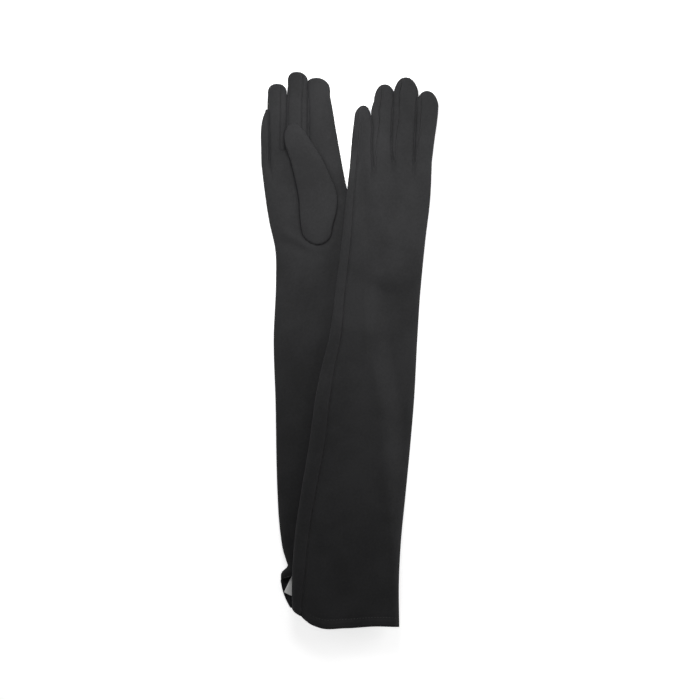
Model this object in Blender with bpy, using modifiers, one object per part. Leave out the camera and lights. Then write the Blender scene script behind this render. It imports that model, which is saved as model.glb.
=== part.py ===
"""A pair of opera gloves laid flat on a table, one across the other.

The right glove lies palm up with its thumb folded over the palm. The left glove lies over it, back up,
with its thumb folded under the palm. +X is the index finger side of both, +Y runs to the fingertips and +Z
is up.
Lengths are in millimetres until a mesh or curve is made, where MM turns them into metres.
"""

import math
from collections import namedtuple

import bmesh
import bpy
import numpy as np
from mathutils import Vector

MM = 0.001

# Cloth and stitching
FABRIC = 0.7  # one layer of stretch fabric
TRANK_ALLOWANCE = 0.9  # from a seam's line to the trank's edge
FOURCHETTE_ALLOWANCE = 1.3  # and to a fourchette's, with room for the thread between them
THREAD_RADIUS = 0.1
LAYER_GAP = 0.4  # between pieces that rest on each other

# Flattened cross-sections
BODY_HALF = 4.0  # half the thickness of a flattened hand or sleeve
FINGER_HALF = 4.0
THUMB_HALF = 3.3
EDGE_ROLL = 6.0  # how far in from its edge a flattened hand or sleeve is rounded
FINGER_ROLL = 8.0
FINGER_BLEND = 20.0  # how far up from its base a finger takes to reach its own section
TIP_RUN = 0.8  # how far back a fingertip starts to narrow, by the finger's width
TIP_POWER = 2.2  # how square a fingertip is
CROTCH_HALF = 1.0  # half the space between two fingers at their crotch
CROTCH_FADE = 22.0  # the finger's round section dies out this far into the hand

# How finely each panel is divided
FINGER_COLUMNS = 3
WEB_COLUMNS = 2
SIDE_ROWS = 3
FINGER_ROWS = (0.0, 0.2, 0.42, 0.64, 0.82, 0.93, 0.985)
HAND_ROWS = (0.0, 0.025, 0.06, 0.11, 0.18, 0.27, 0.38, 0.5, 0.62, 0.74, 0.86, 0.95, 1.0)
THUMB_ROWS = (0.0, 0.02, 0.07, 0.17, 0.3, 0.45, 0.6, 0.75, 0.88, 0.96, 0.99, 1.0)

# Seams, as arc distances round the edge from its outermost line: + is above it, - below
SIDE_SEAM = 11.5  # the ulnar side seam, on the back of the hand
SEAM_WIDE = 8.5  # a fourchette edge that shows on the face of a finger
SEAM_NARROW = 3.0  # a fourchette edge that stays down the side of a finger
HEM_DEPTH = 8.5  # the hem's stitch line, in from the mouth

THUMB_HOLE_RADIUS = 11.0
THUMB_HOLE_FROM_KNUCKLES = 80.0
DRAPE_RUN = 26.0  # sideways distance in which the upper glove comes down to the table

LABEL_SIZE = (22.0, 35.0, 0.4)
LABEL_CORNER = (-66.1, -242.7)
LABEL_LEAN = math.radians(-25.3)
LABEL_HEIGHT = 2.6  # over the hem's stitching

Finger = namedtuple("Finger", "name left right tip")
# Edges are (y, x) points. mouth_top and mouth_bottom are (fraction across, y) points.
Glove = namedtuple(
    "Glove", "name palm_up knuckles ulnar radial crotches fingers mouth_top mouth_bottom"
)

FINGER_NAMES = ("little", "ring", "middle", "index")

RIGHT = Glove(
    name="right",
    palm_up=True,
    knuckles=200.5,
    ulnar=(
        (186.0, -88.8), (160.0, -85.7), (130.0, -81.2), (100.0, -74.8), (70.0, -74.2),
        (10.0, -76.5), (-50.0, -74.7), (-130.0, -73.2), (-190.0, -70.5), (-264.0, -68.0),
    ),
    radial=(
        (203.0, -11.0), (170.0, -4.9), (140.0, 2.0), (110.0, 7.0), (60.0, 10.0), (10.0, 13.0),
        (-50.0, 24.6), (-130.0, 31.0), (-190.0, 38.0), (-264.0, 42.0),
    ),
    crotches=((-82.2, 189.5), (-65.4, 202.0), (-42.0, 200.5)),
    fingers=(
        Finger(
            "little", ((202.5, -89.1), (218.5, -89.6), (230.0, -88.4)),
            ((205.0, -82.0), (228.0, -83.0)), (-85.4, 241.0),
        ),
        Finger(
            "ring", ((205.0, -80.8), (225.0, -81.2), (240.0, -82.2), (256.0, -81.8)),
            ((215.0, -66.3), (256.0, -65.9)), (-73.2, 266.8),
        ),
        Finger(
            "middle", ((215.0, -64.6), (262.0, -63.6)), ((225.0, -43.7), (264.0, -43.9)), (-53.6, 279.0),
        ),
        Finger(
            "index", ((225.0, -42.6), (258.0, -42.8)),
            ((206.5, -11.6), (222.5, -14.4), (238.5, -16.9), (254.0, -19.8)), (-34.0, 273.0),
        ),
    ),
    mouth_top=((0.0, -223.0), (0.15, -226.0), (0.5, -260.0), (1.0, -264.0)),
    mouth_bottom=((0.0, -237.0), (0.05, -247.5), (0.2, -265.5), (1.0, -264.0)),
)
LEFT = Glove(
    name="left",
    palm_up=False,
    knuckles=186.5,
    ulnar=(
        (182.5, -0.4), (150.0, -4.0), (110.0, -8.2), (60.0, -14.5), (10.0, -21.3), (-20.0, -29.0),
        (-50.0, -35.0), (-90.0, -40.3), (-140.0, -48.5), (-190.0, -55.5), (-230.0, -58.0),
        (-278.0, -57.5),
    ),
    radial=(
        (188.5, 81.9), (150.0, 80.1), (110.0, 75.4), (60.0, 70.6), (10.0, 67.4), (-50.0, 64.2),
        (-90.0, 60.9), (-150.0, 55.1), (-190.0, 51.1), (-230.0, 49.0), (-278.0, 49.3),
    ),
    crotches=((24.1, 183.1), (43.8, 189.5), (65.2, 187.1)),
    fingers=(
        Finger("little", ((218.5, 2.6), (232.0, 4.2)), ((218.8, 22.7), (232.0, 21.2)), (13.2, 245.5)),
        Finger("ring", ((218.8, 23.7), (250.0, 23.7)), ((218.0, 43.4), (252.0, 44.5)), (35.2, 268.0)),
        Finger("middle", ((215.0, 44.4), (256.0, 45.7)), ((225.0, 66.7), (256.0, 67.3)), (55.6, 274.0)),
        Finger(
            "index", ((225.5, 67.7), (245.0, 68.7)),
            ((210.5, 84.6), (230.5, 87.4), (245.0, 89.7)), (78.6, 260.0),
        ),
    ),
    mouth_top=(
        (0.0, -257.0), (0.12, -271.5), (0.25, -277.0), (0.5, -277.6), (0.8, -275.8), (1.0, -276.5),
    ),
    mouth_bottom=(
        (0.0, -257.0), (0.12, -271.5), (0.25, -277.0), (0.5, -277.6), (0.8, -275.8), (1.0, -276.5),
    ),
)

# The folded thumb: distance below the knuckles, offset of its middle from the hand's middle, width
THUMB_SHAPE = (
    (-25.0, -6.5, 16.0), (-20.0, -6.0, 19.0), (-5.0, -1.0, 27.5), (10.0, 5.0, 31.7), (26.0, 8.6, 35.0),
    (38.0, 10.5, 37.5), (50.0, 10.6, 38.0), (63.0, 8.0, 36.0), (78.0, 4.0, 30.5), (95.0, 1.5, 26.0),
)
THUMB_TIP = -26.0
THUMB_END = 95.0


def along(points, at):
    """A smooth curve through (where, value) points, held level past its ends."""
    points = sorted(points)
    xs, ys = (np.array(side, float) for side in zip(*points, strict=True))
    slopes = np.gradient(ys, xs)
    at = min(max(at, xs[0]), xs[-1])
    i = min(max(int(np.searchsorted(xs, at)) - 1, 0), len(xs) - 2)
    step = xs[i + 1] - xs[i]
    t = (at - xs[i]) / step
    return (
        (1 + 2 * t) * (1 - t) ** 2 * ys[i]
        + t * (1 - t) ** 2 * step * slopes[i]
        + t * t * (3 - 2 * t) * ys[i + 1]
        - t * t * (1 - t) * step * slopes[i + 1]
    )


def mix(a, b, t):
    return a + (b - a) * t


def smooth(t):
    t = min(max(t, 0.0), 1.0)
    return t * t * (3 - 2 * t)


def wrap(arc, roll, half):
    """How far in and how high a point lies, at this arc distance round a rolled edge."""
    quarter = 0.25 * math.pi * (roll + half)
    turn = min(abs(arc) / quarter, 1.0) * 0.5 * math.pi
    inset = roll * (1 - math.cos(turn)) + max(abs(arc) - quarter, 0.0)
    return inset, math.copysign(half * math.sin(turn), arc)


def rise(inset, roll, half):
    """Height of a flattened tube at this distance in from its edge."""
    return half * math.sqrt(max(1 - (1 - min(max(inset, 0.0) / roll, 1.0)) ** 2, 0.0))


def table_height(glove, x, y):
    """How high the underside of a flattened glove lies at a place."""
    if glove.palm_up:
        return 0.0
    over = 2 * BODY_HALF + LAYER_GAP
    past = x - along(RIGHT.radial, y)
    draped = over * (1 - smooth((past - 2.0) / DRAPE_RUN)) * (1 - smooth((y - 168.0) / 40.0))
    thumb = 2 * THUMB_HALF + LAYER_GAP
    sideways = smooth((x - 2.0) / 20.0)
    lengthwise = smooth((y - 52.0) / 25.0) * (1 - smooth((y - 232.0) / 34.0))
    return LAYER_GAP + (draped**4 + (thumb * sideways * lengthwise) ** 4) ** 0.25


def seam_arcs(glove, finger, side):
    """Arc distances of a finger side's upper and lower panel edges."""
    if (finger, side) == (0, "left"):
        return (SEAM_NARROW, -SIDE_SEAM) if glove.palm_up else (SIDE_SEAM, -SEAM_NARROW)
    if (finger, side) == (3, "right"):
        return SEAM_NARROW, -SEAM_NARROW
    shown = "right" if glove.palm_up else "left"
    return (SEAM_WIDE, -SEAM_NARROW) if side == shown else (SEAM_NARROW, -SEAM_WIDE)


class Section:
    """A cross-section of a flattened tube between two edges."""

    def __init__(self, left, right, half, roll, arcs_left, arcs_right):
        self.left, self.right, self.half = left, right, half
        self.roll = min(roll, 0.5 * (right - left) * 0.96)
        scale = min(1.0, (right - left) / (2.6 * SEAM_WIDE))
        self.arcs_left = [a * scale for a in arcs_left]
        self.arcs_right = [a * scale for a in arcs_right]

    def side(self, right, fraction):
        """A point on a side, from its upper panel edge (0) round to its lower one (1)."""
        upper, lower = self.arcs_right if right else self.arcs_left
        inset, z = wrap(mix(upper, lower, fraction), self.roll, self.half)
        return (self.right - inset if right else self.left + inset), z

    def face(self, below, fraction):
        """A point on the upper or lower panel, from its left edge (0) to its right one (1)."""
        x = mix(self.side(False, float(below))[0], self.side(True, float(below))[0], fraction)
        z = rise(min(x - self.left, self.right - x), self.roll, self.half)
        return x, (-z if below else z)


class Shape:
    """Where each point of one flattened glove lies."""

    def __init__(self, glove):
        self.glove = glove

    def lift(self, x, y, z, half):
        return Vector((x, y, table_height(self.glove, x, y) + half + z))

    def edge(self, points, base, y):
        """An edge of a finger, which starts at its base point."""
        return along(((base[1], base[0]), *points), y)

    def bases(self, i):
        """The two base points of a finger, clear of its neighbours' by the crotch spaces."""
        glove = self.glove
        ulnar_y, radial_y = glove.ulnar[0][0], glove.radial[0][0]
        left = (glove.ulnar[0][1], ulnar_y)
        right = (glove.radial[0][1], radial_y)
        if i > 0:
            left = (glove.crotches[i - 1][0] + CROTCH_HALF, glove.crotches[i - 1][1])
        if i < 3:
            right = (glove.crotches[i][0] - CROTCH_HALF, glove.crotches[i][1])
        return left, right

    def finger_section(self, i, y):
        finger = self.glove.fingers[i]
        base_left, base_right = self.bases(i)
        left = self.edge(finger.left, base_left, y)
        right = self.edge(finger.right, base_right, y)
        tip_run = TIP_RUN * (right - left)
        near = min(max((y - finger.tip[1] + tip_run) / tip_run, 0.0), 1.0)
        narrow = math.sqrt(max(1 - near**TIP_POWER, 0.0))
        middle = mix(0.5 * (left + right), finger.tip[0], near**2)
        reach = 0.5 * (right - left) * narrow
        grown = smooth((y - min(base_left[1], base_right[1])) / FINGER_BLEND)
        half = FINGER_HALF * narrow**0.7
        arcs = (seam_arcs(self.glove, i, "left"), seam_arcs(self.glove, i, "right"))
        return Section(middle - reach, middle + reach, half, mix(EDGE_ROLL, FINGER_ROLL, grown), *arcs)

    def finger_y(self, i, row, fraction):
        base_left, base_right = self.bases(i)
        return mix(mix(base_left[1], base_right[1], fraction), self.glove.fingers[i].tip[1], row)

    def finger_side(self, i, row, right, fraction):
        y = self.finger_y(i, row, 1.0 if right else 0.0)
        section = self.finger_section(i, y)
        x, z = section.side(right, fraction)
        return self.lift(x, y, z, mix(BODY_HALF, section.half, smooth(row * 4)))

    def finger_face(self, i, row, below, fraction):
        y = self.finger_y(i, row, fraction)
        section = self.finger_section(i, y)
        x, z = section.face(below, fraction)
        return self.lift(x, y, z, mix(BODY_HALF, section.half, smooth(row * 4)))

    def web(self, i, below_fraction):
        """The middle of the crotch between fingers i and i+1, from its upper seam (0) to its lower (1)."""
        x, y = self.glove.crotches[i]
        upper_r, lower_r = seam_arcs(self.glove, i, "right")
        upper_l, lower_l = seam_arcs(self.glove, i + 1, "left")
        arc = mix(0.5 * (upper_r + upper_l), 0.5 * (lower_r + lower_l), below_fraction)
        inset, z = wrap(arc, EDGE_ROLL, BODY_HALF)
        return self.lift(x, y - CROTCH_HALF - inset, z, BODY_HALF)

    def knuckle_point(self, below, column):
        """A point of the knuckle line, where the four fingers' panels and three webs join the hand's."""
        step = FINGER_COLUMNS + WEB_COLUMNS
        i, c = divmod(column, step)
        if c <= FINGER_COLUMNS:
            return self.finger_face(i, 0.0, below, c / FINGER_COLUMNS)
        return self.web(i, float(below))

    def body_section(self, y):
        glove = self.glove
        arcs = (seam_arcs(glove, 0, "left"), seam_arcs(glove, 3, "right"))
        return Section(along(glove.ulnar, y), along(glove.radial, y), BODY_HALF, EDGE_ROLL, *arcs)

    def mouth_y(self, below, fraction):
        return along(self.glove.mouth_bottom if below else self.glove.mouth_top, fraction)

    def body_face(self, row, below, column):
        knuckle = self.knuckle_point(below, column)
        if row == 0:
            return knuckle
        first, last = self.knuckle_point(below, 0), self.knuckle_point(below, columns())
        fraction = (knuckle.x - first.x) / (last.x - first.x)
        y = mix(knuckle.y, self.mouth_y(below, fraction), row)
        return self.faded(knuckle, y, lambda at: self.body_section(at).face(below, fraction))

    def faded(self, knuckle, y, point):
        """A point of the body's section at y, which keeps the knuckle line's own shape near it."""
        x, z = point(y)
        start_x, start_z = point(knuckle.y)
        fade = 1 - smooth((knuckle.y - y) / CROTCH_FADE)
        knuckle_z = knuckle.z - table_height(self.glove, knuckle.x, knuckle.y) - BODY_HALF
        x += (knuckle.x - start_x) * fade
        return self.lift(x, y, z + (knuckle_z - start_z) * fade, BODY_HALF)

    def body_side(self, row, right, fraction):
        mouth = mix(self.mouth_y(False, float(right)), self.mouth_y(True, float(right)), fraction)
        knuckle = self.finger_side(3 if right else 0, 0.0, right, fraction)
        y = mix(knuckle.y, mouth, row)
        return self.faded(knuckle, y, lambda at: self.body_section(at).side(right, fraction))


def columns():
    return 4 * FINGER_COLUMNS + 3 * WEB_COLUMNS


class Panel:
    """A sewing panel: an open surface, its vertices named so that neighbouring faces share them."""

    def __init__(self):
        self.places, self.faces, self.open_rim = {}, [], set()

    def grid(self, name, place, rows, cols, flip):
        """Quads over rows by columns. name(r, c) names a corner and place(r, c) says where it is."""
        for r in range(rows):
            for c in range(cols):
                corners = [(r, c), (r, c + 1), (r + 1, c + 1), (r + 1, c)]
                for corner in corners:
                    self.places.setdefault(name(*corner), place(*corner))
                names = [name(*corner) for corner in corners]
                self.faces.append(names[::-1] if flip else names)

    def mesh(self, title, allowance):
        """The panel as a mesh, drawn back from its seam lines by an allowance."""
        bm = bmesh.new()
        made = {name: bm.verts.new(place) for name, place in self.places.items()}
        for face in self.faces:
            bm.faces.new([made[name] for name in face])
        rim = {made[name] for name in self.open_rim}
        sewn = {
            v for e in bm.edges if e.is_boundary and not rim.issuperset(e.verts) for v in e.verts
        }
        moves = {v: pull(v, sewn) for v in sewn}
        for v, move in moves.items():
            v.co += move * allowance
        bmesh.ops.scale(bm, vec=(MM, MM, MM), verts=bm.verts)
        mesh = bpy.data.meshes.new(title)
        bm.to_mesh(mesh)
        bm.free()
        return mesh


def pull(vert, sewn):
    """The direction away from the seam at a vertex, along the panel."""
    inward = [e.other_vert(vert).co - vert.co for e in vert.link_edges if e.other_vert(vert) not in sewn]
    if not inward:
        inward = [f.calc_center_median() - vert.co for f in vert.link_faces]
    return sum((way.normalized() for way in inward), Vector()).normalized()


def trank_panel(shape):
    """The main piece of a glove: palm and back in one, open along the ulnar side seam."""
    panel = Panel()
    back_below = shape.glove.palm_up
    last = len(HAND_ROWS) - 1
    tip = len(FINGER_ROWS) - 1

    def face_name(below, row, column):
        return "face", below, row, column

    def side_name(right, row, part):
        """A side's edges are the face panels' own vertices, except along the side seam."""
        if part in (0, SIDE_ROWS):
            below = part == SIDE_ROWS
            if right or below != back_below or row == -tip:
                return face_name(below, row, columns() if right else 0)
        return "side", right, row, part

    for below in (False, True):
        panel.grid(
            lambda r, c, below=below: face_name(below, r, c),
            lambda r, c, below=below: shape.body_face(HAND_ROWS[r], below, c),
            last, columns(), not below,
        )
        for i in range(4):
            first = i * (FINGER_COLUMNS + WEB_COLUMNS)
            panel.grid(
                lambda r, c, below=below, first=first: face_name(below, -r, first + c),
                lambda r, c, below=below, i=i: shape.finger_face(
                    i, FINGER_ROWS[r], below, c / FINGER_COLUMNS
                ),
                tip, FINGER_COLUMNS, below,
            )
    for right in (False, True):
        i = 3 if right else 0
        panel.grid(
            lambda r, p, right=right: side_name(right, r, p),
            lambda r, p, right=right: shape.body_side(HAND_ROWS[r], right, p / SIDE_ROWS),
            last, SIDE_ROWS, right,
        )
        panel.grid(
            lambda r, p, right=right: side_name(right, -r, p),
            lambda r, p, right=right, i=i: shape.finger_side(i, FINGER_ROWS[r], right, p / SIDE_ROWS),
            tip, SIDE_ROWS, not right,
        )
    for i in range(4):
        close_fingertip(panel, shape, face_name, side_name, i)
    panel.open_rim = {name for name in panel.places if name[2] == last}
    return panel


def close_fingertip(panel, shape, face_name, side_name, i):
    """The trank all round a fingertip, past the end of the fourchettes, and the small face that ends it."""
    tip = len(FINGER_ROWS) - 1
    first = i * (FINGER_COLUMNS + WEB_COLUMNS)

    def tip_name(right, row, part):
        if (i, right) in ((0, False), (3, True)):
            return side_name(right, -row, part)
        if part in (0, SIDE_ROWS):
            return face_name(part == SIDE_ROWS, -row, first + (FINGER_COLUMNS if right else 0))
        return "tip", (i, right), -row, part

    for right in (False, True):
        if (i, right) in ((0, False), (3, True)):
            continue
        panel.grid(
            lambda r, p, right=right: tip_name(right, tip - 1 + r, p),
            lambda r, p, right=right: shape.finger_side(i, FINGER_ROWS[tip - 1 + r], right, p / SIDE_ROWS),
            1, SIDE_ROWS, not right,
        )
    inner = range(1, SIDE_ROWS)
    ring = [face_name(False, -tip, first + c) for c in range(FINGER_COLUMNS + 1)]
    ring += [tip_name(True, tip, part) for part in inner]
    ring += [face_name(True, -tip, first + c) for c in range(FINGER_COLUMNS, -1, -1)]
    ring += [tip_name(False, tip, part) for part in reversed(inner)]
    panel.faces.append(ring)


def fourchette_panel(shape, i):
    """The strip between fingers i and i+1, down one's side and up the other's."""
    tip = len(FINGER_ROWS) - 2
    rows = 2 * tip + WEB_COLUMNS

    def place(r, part):
        fraction = part / SIDE_ROWS
        if r <= tip:
            return shape.finger_side(i, FINGER_ROWS[tip - r], True, fraction)
        if r >= tip + WEB_COLUMNS:
            return shape.finger_side(i + 1, FINGER_ROWS[r - tip - WEB_COLUMNS], False, fraction)
        return shape.web(i, fraction)

    panel = Panel()
    panel.grid(lambda r, p: (r, p), place, rows, SIDE_ROWS, True)
    return panel, place, rows


def thumb_shape(glove, t):
    """Left edge, right edge, y and half thickness of the thumb, from its end (0) to its tip (1)."""
    below_knuckles = mix(THUMB_END, THUMB_TIP, t)
    y = glove.knuckles - below_knuckles
    offsets = [(d, offset) for d, offset, _ in THUMB_SHAPE]
    widths = [(d, width) for d, _, width in THUMB_SHAPE]
    hand_middle = 0.5 * (along(glove.ulnar, y) + along(glove.radial, y))
    middle = hand_middle + along(offsets, below_knuckles)
    from_end = (THUMB_END - below_knuckles) / 13.0
    from_tip = (below_knuckles - THUMB_TIP) / 14.0
    narrow = math.sqrt(max(1 - max(1 - from_end, 1 - from_tip, 0.0) ** 2.2, 0.012))
    reach = 0.5 * along(widths, below_knuckles) * narrow
    return middle - reach, middle + reach, y, THUMB_HALF * narrow**0.6


def thumb_panel(glove):
    """The thumb: a flattened tube closed at its tip and its lower end."""
    panel = Panel()
    rest = 2 * BODY_HALF + LAYER_GAP if glove.palm_up else LAYER_GAP
    quarters = 4
    around = 4 * quarters

    def place(r, c):
        left, right, y, half = thumb_shape(glove, THUMB_ROWS[r])
        angle = 2 * math.pi * c / around
        flat = 2 / 2.6
        x = math.copysign(abs(math.cos(angle)) ** flat, math.cos(angle))
        z = math.copysign(abs(math.sin(angle)) ** flat, math.sin(angle))
        return Vector((0.5 * (left + right) + 0.5 * (right - left) * x, y, rest + THUMB_HALF + half * z))

    rows = len(THUMB_ROWS) - 1
    panel.grid(lambda r, c: (r, c % around), place, rows, around, True)
    panel.faces.append([(0, c) for c in range(around)])
    panel.faces.append([(rows, c) for c in range(around - 1, -1, -1)])
    return panel


def add_object(name, data, material, collection):
    data.name = name
    data.materials.append(material)
    thing = bpy.data.objects.new(name, data)
    collection.objects.link(thing)
    return thing


def add_cloth(name, mesh, material, collection):
    """A panel given its cloth thickness, inwards from its outer face."""
    thing = add_object(name, mesh, material, collection)
    layer = thing.modifiers.new("cloth", "SOLIDIFY")
    layer.thickness = FABRIC * MM
    layer.offset = -1
    return thing


def add_thread(name, places, closed, material, collection):
    """A seam thread along points in millimetres."""
    curve = bpy.data.curves.new(name, "CURVE")
    curve.dimensions = "3D"
    curve.bevel_depth = THREAD_RADIUS * MM
    curve.bevel_resolution = 0
    curve.use_fill_caps = True
    spline = curve.splines.new("POLY")
    spline.points.add(len(places) - 1)
    for point, place in zip(spline.points, places, strict=True):
        point.co = (*(Vector(place) * MM), 1.0)
    spline.use_cyclic_u = closed
    return add_object(name, curve, material, collection)


def fourchette_thread(glove, place, rows):
    """The closed seam round a fourchette: down its upper edge and back along its lower one."""
    upper = [(r, 0) for r in range(rows + 1)]
    lower = [(r, SIDE_ROWS) for r in range(rows, -1, -1)]
    far_end = [(rows, part) for part in range(1, SIDE_ROWS)]
    near_end = [(0, part) for part in range(SIDE_ROWS - 1, 0, -1)]
    return [sunk(glove, place(*at)) for at in upper + far_end + lower + near_end]


def sunk(glove, place):
    """A seam point lowered from the cloth's outer face towards the middle of its thickness."""
    rise_here = place.z - table_height(glove, place.x, place.y) - BODY_HALF
    return place - Vector((0, 0, 0.5 * FABRIC * rise_here / BODY_HALF))


def side_seam_thread(shape):
    """The ulnar side seam, from the mouth up to the little fingertip."""
    part = 1.0 if shape.glove.palm_up else 0.0
    rows = HAND_ROWS[:0:-1]
    places = [shape.body_side(row, False, part) for row in rows]
    places += [shape.finger_side(0, row, False, part) for row in FINGER_ROWS[:-1]]
    return [sunk(shape.glove, place) for place in places]


def hem_thread(shape):
    """The hem's stitching, round the inside of the sleeve."""
    clear = FABRIC + LAYER_GAP + THREAD_RADIUS
    places = []
    steps = 8
    for below in (False, True):
        for s in range(steps + 1):
            fraction = s / steps if not below else 1 - s / steps
            y = shape.mouth_y(below, fraction) + HEM_DEPTH
            section = shape.body_section(y)
            x = mix(section.left + clear + 1.2, section.right - clear - 1.2, fraction)
            z = rise(min(x - section.left, section.right - x) - 0.6, EDGE_ROLL, BODY_HALF)
            z = max(z - clear, 0.3)
            places.append(shape.lift(x, y, -z if below else z, BODY_HALF))
    return places


def thumb_hole(glove):
    """The middle of the hole where the thumb is set in."""
    y = glove.knuckles - THUMB_HOLE_FROM_KNUCKLES
    at = (THUMB_END - THUMB_HOLE_FROM_KNUCKLES) / (THUMB_END - THUMB_TIP)
    left, right, _, _ = thumb_shape(glove, at)
    return 0.5 * (left + right), y


def thumb_seam_height(glove):
    return 2 * BODY_HALF + 0.5 * LAYER_GAP if glove.palm_up else 2 * THUMB_HALF + 1.5 * LAYER_GAP


def thumb_seam_thread(glove):
    x, y = thumb_hole(glove)
    z = thumb_seam_height(glove)
    radius = THUMB_HOLE_RADIUS - 2 * THREAD_RADIUS - 0.2
    turns = 24
    return [
        Vector((x + radius * math.cos(a), y + radius * math.sin(a), z))
        for a in (2 * math.pi * s / turns for s in range(turns))
    ]


def add_hole(glove, pieces, cutters):
    """Cuts the thumb hole through the palm and the thumb's facing side."""
    x, y = thumb_hole(glove)
    depth = 6.0
    bpy.ops.mesh.primitive_cylinder_add(
        vertices=32, radius=THUMB_HOLE_RADIUS * MM, depth=depth * MM,
        location=(x * MM, y * MM, thumb_seam_height(glove) * MM),
    )
    cutter = bpy.context.object
    cutter.name = glove.name + "_thumb_hole_cutter"
    for collection in list(cutter.users_collection):
        collection.objects.unlink(cutter)
    cutters.objects.link(cutter)
    cutter.hide_render = True
    cutter.display_type = "WIRE"
    for piece in pieces:
        cut = piece.modifiers.new("thumb hole", "BOOLEAN")
        cut.operation = "DIFFERENCE"
        cut.object = cutter


def add_label(material, collection):
    """The blank care label, sewn inside the right glove's side seam at the mouth."""
    width, length, thick = LABEL_SIZE
    bpy.ops.mesh.primitive_cube_add(size=1)
    label = bpy.context.object
    label.data.transform(label.matrix_world)
    for v in label.data.vertices:
        v.co = Vector(((v.co.x + 0.5) * width, (v.co.y + 0.5) * length, v.co.z * thick)) * MM
    label.name = "right_care_label"
    label.location = (LABEL_CORNER[0] * MM, LABEL_CORNER[1] * MM, LABEL_HEIGHT * MM)
    label.rotation_euler.z = LABEL_LEAN
    label.data.materials.append(material)
    for old in list(label.users_collection):
        old.objects.unlink(label)
    collection.objects.link(label)


def make_material(name, colour, roughness):
    material = bpy.data.materials.new(name)
    material.use_nodes = True
    shader = material.node_tree.nodes["Principled BSDF"]
    shader.inputs["Base Color"].default_value = (*colour, 1.0)
    shader.inputs["Roughness"].default_value = roughness
    return material


def add_glove(glove, fabric, thread, collection, cutters):
    shape = Shape(glove)
    trank_mesh = trank_panel(shape).mesh("trank", TRANK_ALLOWANCE)
    trank = add_cloth(glove.name + "_trank", trank_mesh, fabric, collection)
    thumb = add_cloth(glove.name + "_thumb", thumb_panel(glove).mesh("thumb", 0.0), fabric, collection)
    add_hole(glove, (trank, thumb), cutters)
    for i in range(3):
        between = FINGER_NAMES[i] + "_" + FINGER_NAMES[i + 1]
        panel, place, rows = fourchette_panel(shape, i)
        fourchette_mesh = panel.mesh(between, FOURCHETTE_ALLOWANCE)
        add_cloth(f"{glove.name}_fourchette_{between}", fourchette_mesh, fabric, collection)
        path = fourchette_thread(glove, place, rows)
        add_thread(f"{glove.name}_fourchette_thread_{between}", path, True, thread, collection)
    add_thread(glove.name + "_side_seam_thread", side_seam_thread(shape), False, thread, collection)
    add_thread(glove.name + "_hem_thread", hem_thread(shape), True, thread, collection)
    add_thread(glove.name + "_thumb_seam_thread", thumb_seam_thread(glove), True, thread, collection)


def main():
    for thing in list(bpy.data.objects):
        bpy.data.objects.remove(thing)
    gloves = bpy.data.collections.new("opera_gloves")
    cutters = bpy.data.collections.new("cutters")
    for collection in (gloves, cutters):
        bpy.context.scene.collection.children.link(collection)
    fabric = make_material("black stretch fabric", (0.02, 0.02, 0.022), 0.85)
    thread = make_material("black thread", (0.03, 0.03, 0.032), 0.7)
    satin = make_material("white label satin", (0.8, 0.8, 0.78), 0.5)
    for glove in (RIGHT, LEFT):
        add_glove(glove, fabric, thread, gloves, cutters)
    add_label(satin, gloves)


main()
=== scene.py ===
"""The looks of a pair of opera gloves: soft black panels, seams, hems, stitching and a blank label.

The gloves lie as the CAD model has them. Lengths are in millimetres until a mesh or curve is made. The
panels repeat the CAD's outlines at a finer pitch, with rolled seams, turned hems and the creases of soft
cloth.
"""

import math
from collections import namedtuple
from functools import lru_cache

import bmesh
import bpy
from mathutils import Matrix, Vector, noise


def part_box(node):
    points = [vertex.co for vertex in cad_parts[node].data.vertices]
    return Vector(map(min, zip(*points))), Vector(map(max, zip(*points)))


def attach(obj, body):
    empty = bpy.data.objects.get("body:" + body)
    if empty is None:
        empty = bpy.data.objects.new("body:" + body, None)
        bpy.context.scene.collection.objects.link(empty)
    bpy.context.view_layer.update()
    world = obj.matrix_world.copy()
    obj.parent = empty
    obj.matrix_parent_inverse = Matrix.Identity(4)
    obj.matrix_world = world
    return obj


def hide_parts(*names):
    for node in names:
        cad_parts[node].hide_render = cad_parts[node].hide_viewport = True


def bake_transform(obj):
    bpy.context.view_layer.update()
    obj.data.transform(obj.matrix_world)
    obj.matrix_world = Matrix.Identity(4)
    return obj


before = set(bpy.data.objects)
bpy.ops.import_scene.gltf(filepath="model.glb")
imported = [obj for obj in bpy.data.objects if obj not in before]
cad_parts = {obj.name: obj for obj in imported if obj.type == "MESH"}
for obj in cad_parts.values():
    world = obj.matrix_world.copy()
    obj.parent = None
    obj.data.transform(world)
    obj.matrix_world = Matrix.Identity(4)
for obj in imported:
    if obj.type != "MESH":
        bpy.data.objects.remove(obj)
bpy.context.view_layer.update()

MM = 0.001

# Cloth, sections and seams, as in the CAD model
FABRIC = 0.7
LAYER_GAP = 0.4
BODY_HALF = 4.0
FINGER_HALF = 4.0
THUMB_HALF = 3.3
EDGE_ROLL = 6.0  # how far in from its edge a flattened tube is rounded
FINGER_ROLL = 9.0  # the same, for a finger past its base
PLUMP_RUN = 22.0  # how far in from its edge a plump tube still swells
PLUMPNESS = 0.5  # how much of its height it gains that slowly
CROTCH_HALF = 0.2
TOUCH = 0.4  # how much wider each finger is drawn where it lies against the next
CROTCH_FADE = 22.0
SIDE_SEAM = 11.5
SEAM_WIDE = 8.5
SEAM_NARROW = 3.0
SEAM_SHARE = (1.0, 1.12, 0.95, 0.8)  # each finger's share of the wide strip, little finger first
TIP_RUN = (0.8, 0.6)  # how far back a fingertip starts to narrow, by its width: left glove, right glove
TIP_POWER = (1.9, 2.7)  # how square a fingertip is: left glove, right glove
HEM_DEPTH = 8.5
DRAPE_RUN = 26.0
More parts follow.
